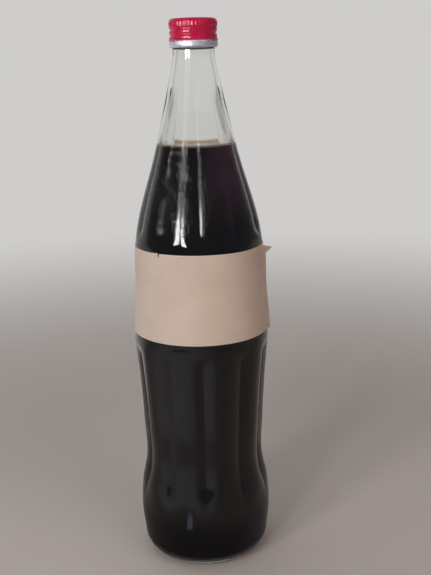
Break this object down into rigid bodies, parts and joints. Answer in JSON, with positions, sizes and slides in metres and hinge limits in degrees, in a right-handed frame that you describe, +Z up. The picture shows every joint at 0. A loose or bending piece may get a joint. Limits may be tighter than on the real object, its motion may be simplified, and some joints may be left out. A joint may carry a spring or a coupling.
{
  "type": "glass soda bottle",
  "caption": "Tall fluted clear glass soda bottle with dark drink, red metal screw cap over a sealing disc, loose tamper band and a blank paper wrap.",
  "frame": {"origin": "centre of the standing ring under the base, in the plane that the bottle stands on", "axes": "+Z up along the bottle's axis towards the cap, -Y towards the side that the picture shows, +X to its right"},
  "size_m": [0.0832, 0.0832, 0.3324],
  "materials": {
    "bottle_glass": "clear, slightly grey-green, glossy",
    "dark_drink": "near-black brown liquid",
    "cap_red": "glossy crimson lacquer on sheet aluminium",
    "liner_foam": "foamed plastic",
    "band_bare": "bare bright aluminium",
    "wrap_paper": "uncoated cream paper",
    "dried_glue": "dried glue"
  },
  "bodies": {
    "bottle": {"glass_bottle": "bottle_glass", "soda": "dark_drink", "paper_wrap": "wrap_paper", "wrap_glue": "dried_glue"},
    "liner": {"cap_liner": "liner_foam"},
    "cap": {"cap_shell": "cap_red"},
    "band": {"tamper_band": "band_bare"}
  },
  "joints": [
    {"name": "cap_lift", "type": "slide", "parent": "bottle", "child": "liner", "axis": [0, 0, 1], "range_m": [0, 0.0143]},
    {"name": "cap_turn", "type": "hinge", "parent": "liner", "child": "cap", "pos_m": [0, 0, 0.326], "axis": [0, 0, 1], "range_deg": [0, 1620]},
    {"name": "band_spin", "type": "hinge", "parent": "bottle", "child": "band", "pos_m": [0, 0, 0.318], "axis": [0, 0, 1], "continuous": true}
  ],
  "couplings": [
    {"joint": "cap_lift", "follows": "cap_turn", "m_per_rad": 0.00050532}
  ]
}
